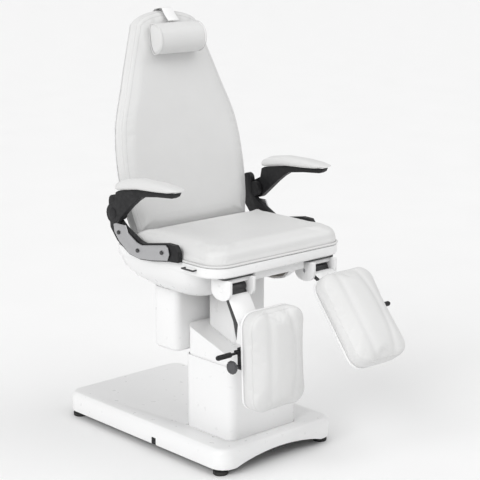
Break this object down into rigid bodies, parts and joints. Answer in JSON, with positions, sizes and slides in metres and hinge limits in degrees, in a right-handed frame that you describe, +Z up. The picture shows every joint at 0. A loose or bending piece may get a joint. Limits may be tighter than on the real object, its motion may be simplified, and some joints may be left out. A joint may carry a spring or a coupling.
{
  "type": "pedicure chair",
  "caption": "Electric pedicure chair with a lifting column, tilting seat, reclining back with head pillow, folding armrests and separate swing-out leg rests.",
  "frame": {"origin": "on the floor, under the middle of the chair's footprint", "axes": "+Z up, the sitter faces -Y, +X is the side of the sitter's left hand"},
  "size_m": [0.702, 1.1578, 1.4249],
  "materials": {
    "white_plastic": "satin white vacuum-formed plastic",
    "upholstery": "pale grey-white synthetic leather, fine grain, semi-matte",
    "black_plastic": "matt black moulded plastic",
    "black_steel": "black powder coat",
    "aluminium": "brushed",
    "steel": "ground",
    "rubber": "matt black",
    "plywood": "unfinished plywood",
    "knob_plastic": "dark grey moulded plastic"
  },
  "bodies": {
    "base": {"base_cover": "white_plastic", "power_inlet": "black_plastic", "base_frame": "black_steel", "front_left_foot": "rubber", "front_right_foot": "rubber", "rear_left_foot": "rubber", "rear_right_foot": "rubber", "column_cover": "white_plastic", "guide_column": "steel", "lift_actuator_tube": "black_steel"},
    "sleeve": {"sleeve_cover": "white_plastic"},
    "lift": {"inner_column_cover": "white_plastic", "lift_carriage": "black_steel", "lift_actuator_rod": "aluminium", "tilt_pin": "steel", "rear_housing": "white_plastic", "control_box": "black_plastic"},
    "seat": {"seat_pan": "white_plastic", "seat_frame": "black_steel", "seat_board": "plywood", "seat_cushion": "upholstery", "tilt_actuator": "black_steel", "recline_actuator": "black_steel", "side_hook": "black_steel", "recline_pin": "steel", "left_swivel_plate": "black_steel", "left_bracket_body": "black_plastic", "left_bracket_bolts": "black_steel", "left_bracket_face": "aluminium", "right_swivel_plate": "black_steel", "right_bracket_body": "black_plastic", "right_bracket_bolts": "black_steel", "right_bracket_face": "aluminium"},
    "back": {"backrest_cushion": "upholstery", "backrest_shell": "white_plastic", "backrest_frame": "black_steel", "head_pillow": "upholstery", "pillow_strap": "white_plastic"},
    "left_arm": {"left_arm_lever": "black_plastic", "left_arm_pad": "upholstery"},
    "left_swivel": {"left_leg_housing": "white_plastic", "left_leg_shaft": "steel"},
    "left_leg": {"left_leg_arm": "black_steel", "left_leg_bracket": "white_plastic"},
    "left_slide": {"left_leg_clamp": "black_plastic", "left_leg_board": "white_plastic", "left_leg_pad": "upholstery"},
    "left_knob": {"left_leg_knob": "knob_plastic"},
    "left_lever": {"left_leg_lever": "black_plastic"},
    "right_arm": {"right_arm_lever": "black_plastic", "right_arm_pad": "upholstery"},
    "right_swivel": {"right_leg_housing": "white_plastic", "right_leg_shaft": "steel"},
    "right_leg": {"right_leg_arm": "black_steel", "right_leg_bracket": "white_plastic"},
    "right_slide": {"right_leg_clamp": "black_plastic", "right_leg_board": "white_plastic", "right_leg_pad": "upholstery"},
    "right_knob": {"right_leg_knob": "knob_plastic"},
    "right_lever": {"right_leg_lever": "black_plastic"}
  },
  "joints": [
    {"name": "lift_slide", "type": "slide", "parent": "base", "child": "lift", "axis": [0, 0, 1], "range_m": [-0.15, 0.11]},
    {"name": "sleeve_slide", "type": "slide", "parent": "base", "child": "sleeve", "axis": [0, 0, 1], "range_m": [-0.075, 0.055]},
    {"name": "seat_tilt", "type": "hinge", "parent": "lift", "child": "seat", "pos_m": [0, 0.1409, 0.605], "axis": [-1, 0, 0], "range_deg": [0, 12]},
    {"name": "recline", "type": "hinge", "parent": "seat", "child": "back", "pos_m": [0, 0.2209, 0.7045], "axis": [-1, 0, 0], "range_deg": [0, 75]},
    {"name": "left_arm_fold", "type": "hinge", "parent": "seat", "child": "left_arm", "pos_m": [-0.317, 0.1929, 0.795], "axis": [-1, 0, 0], "range_deg": [0, 95]},
    {"name": "left_leg_swivel", "type": "hinge", "parent": "seat", "child": "left_swivel", "pos_m": [-0.18, -0.2191, 0.606], "axis": [0, 0, -1], "range_deg": [0, 35]},
    {"name": "left_leg_raise", "type": "hinge", "parent": "left_swivel", "child": "left_leg", "pos_m": [-0.18, -0.2191, 0.606], "axis": [-1, 0, 0], "range_deg": [-2, 78]},
    {"name": "left_leg_extend", "type": "slide", "parent": "left_leg", "child": "left_slide", "axis": [0, -0.0349, -0.9994], "range_m": [0, 0.08]},
    {"name": "left_knob_turn", "type": "hinge", "parent": "left_slide", "child": "left_knob", "pos_m": [-0.2363, -0.3093, 0.38701], "axis": [-1, 0, 0], "range_deg": [0, 180]},
    {"name": "left_lever_pull", "type": "hinge", "parent": "left_slide", "child": "left_lever", "pos_m": [-0.243, -0.30787, 0.42799], "axis": [0, -0.9994, 0.0349], "range_deg": [0, 12], "stiffness_Nm_per_rad": 1, "springref_deg": -11.46},
    {"name": "right_arm_fold", "type": "hinge", "parent": "seat", "child": "right_arm", "pos_m": [0.317, 0.1929, 0.795], "axis": [-1, 0, 0], "range_deg": [0, 95]},
    {"name": "right_leg_swivel", "type": "hinge", "parent": "seat", "child": "right_swivel", "pos_m": [0.18, -0.2191, 0.606], "axis": [0, 0, 1], "range_deg": [0, 35]},
    {"name": "right_leg_raise", "type": "hinge", "parent": "right_swivel", "child": "right_leg", "pos_m": [0.18, -0.2191, 0.606], "axis": [-1, 0, 0], "range_deg": [-38, 42]},
    {"name": "right_leg_extend", "type": "slide", "parent": "right_leg", "child": "right_slide", "axis": [0, -0.6157, -0.788], "range_m": [-0.02, 0.06]},
    {"name": "right_knob_turn", "type": "hinge", "parent": "right_slide", "child": "right_knob", "pos_m": [0.2363, -0.4331, 0.46609], "axis": [1, 0, 0], "range_deg": [0, 180]},
    {"name": "right_lever_pull", "type": "hinge", "parent": "right_slide", "child": "right_lever", "pos_m": [0.243, -0.40786, 0.4984], "axis": [0, 0.788, -0.6157], "range_deg": [0, 12], "stiffness_Nm_per_rad": 1, "springref_deg": -11.46}
  ],
  "couplings": [
    {"joint": "sleeve_slide", "follows": "lift_slide", "ratio": 0.5}
  ]
}
